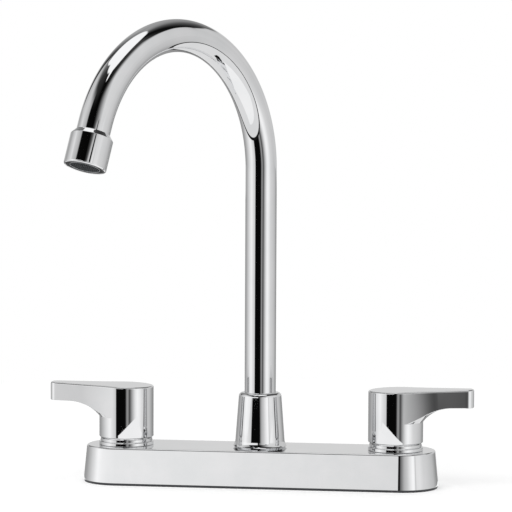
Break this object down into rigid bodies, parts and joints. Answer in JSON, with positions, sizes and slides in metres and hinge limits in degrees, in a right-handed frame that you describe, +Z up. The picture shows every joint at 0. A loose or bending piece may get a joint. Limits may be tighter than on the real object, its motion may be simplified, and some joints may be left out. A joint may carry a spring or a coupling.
{
  "type": "two handle kitchen faucet",
  "caption": "Deck mounted mixer tap: chrome deck plate, two quarter-turn lever handles and a high swivelling gooseneck spout with an aerator.",
  "frame": {"origin": "middle of the deck gasket's underside, which lies on the sink deck", "axes": "+X to the cold handle (the user's right), +Y to the back, +Z up; the user stands at -Y"},
  "size_m": [0.3188, 0.2135, 0.3933],
  "materials": {
    "chrome_plated_zinc": "bright chrome plate",
    "chrome_plated_brass": "bright chrome plate",
    "machined_brass": "machined",
    "drawn_brass_tube": "drawn",
    "dark_plastic_gasket": "moulded, matt",
    "nylon_washer": "moulded, matt",
    "grey_acetal": "moulded, satin",
    "black_plastic_nut": "moulded, matt",
    "black_rubber": "moulded, matt",
    "alumina_disc": "lapped",
    "stainless_mesh": "woven",
    "stainless_screw": "machined"
  },
  "bodies": {
    "base": {"deck_plate": "chrome_plated_zinc", "spout_collar": "chrome_plated_brass", "hot_trim_ring": "chrome_plated_brass", "cold_trim_ring": "chrome_plated_brass", "hot_bonnet_nut": "chrome_plated_brass", "cold_bonnet_nut": "chrome_plated_brass", "spout_body": "machined_brass", "hot_valve_body": "machined_brass", "cold_valve_body": "machined_brass", "hot_crossover_tube": "drawn_brass_tube", "cold_crossover_tube": "drawn_brass_tube", "deck_gasket": "dark_plastic_gasket", "lower_thrust_washer": "nylon_washer", "upper_thrust_washer": "nylon_washer", "hot_cartridge_shell": "grey_acetal", "cold_cartridge_shell": "grey_acetal", "hot_locknut": "black_plastic_nut", "cold_locknut": "black_plastic_nut", "hot_mounting_washer": "black_plastic_nut", "cold_mounting_washer": "black_plastic_nut", "hot_seat_seal": "black_rubber", "cold_seat_seal": "black_rubber", "hot_fixed_disc": "alumina_disc", "cold_fixed_disc": "alumina_disc"},
    "spout": {"spout_tube": "chrome_plated_brass", "spout_sleeve": "machined_brass", "lower_o_ring": "black_rubber", "upper_o_ring": "black_rubber", "outlet_adaptor": "machined_brass", "aerator_housing": "chrome_plated_brass", "aerator_washer": "black_rubber", "aerator_insert": "grey_acetal", "aerator_screen": "stainless_mesh", "aerator_seal": "black_rubber"},
    "hot_handle": {"hot_handle": "chrome_plated_zinc", "hot_set_screw": "stainless_screw", "hot_valve_stem": "machined_brass", "hot_stem_seal": "black_rubber", "hot_moving_disc": "alumina_disc"},
    "cold_handle": {"cold_handle": "chrome_plated_zinc", "cold_set_screw": "stainless_screw", "cold_valve_stem": "machined_brass", "cold_stem_seal": "black_rubber", "cold_moving_disc": "alumina_disc"}
  },
  "joints": [
    {"name": "spout_swivel", "type": "hinge", "parent": "base", "child": "spout", "pos_m": [0, 0, 0.05], "axis": [0, 0, 1], "continuous": true},
    {"name": "hot_lever_turn", "type": "hinge", "parent": "base", "child": "hot_handle", "pos_m": [-0.1016, 0, 0.05], "axis": [0, 0, 1], "range_deg": [0, 90]},
    {"name": "cold_lever_turn", "type": "hinge", "parent": "base", "child": "cold_handle", "pos_m": [0.1016, 0, 0.05], "axis": [0, 0, 1], "range_deg": [-90, 0]}
  ]
}
